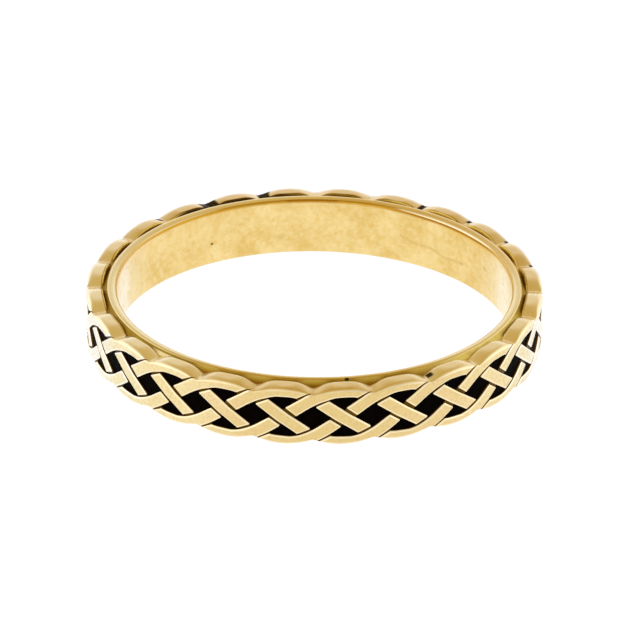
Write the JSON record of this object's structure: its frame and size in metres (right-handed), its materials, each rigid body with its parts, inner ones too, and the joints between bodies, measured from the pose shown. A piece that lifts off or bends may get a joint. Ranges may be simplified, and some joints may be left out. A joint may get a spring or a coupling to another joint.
{
  "type": "braided band ring",
  "caption": "Flat band ring for a finger: a plaited gold band with scalloped edges and black enamel windows, on a plain inner sleeve.",
  "frame": {"origin": "centre of the finger hole, on the band's middle plane", "axes": "+Z along the finger hole's axis, up when the ring lies on its side; -Y is the front, in the middle of a diamond window"},
  "size_m": [0.02, 0.02, 0.0028],
  "materials": {
    "gold": "yellow gold: fine satin strand faces with polished edges, polished rims, lightly worn satin bore",
    "enamel": "black enamel, satin"
  },
  "bodies": {
    "root": {"gold_band": "gold", "black_enamel": "enamel"}
  },
  "joints": []
}
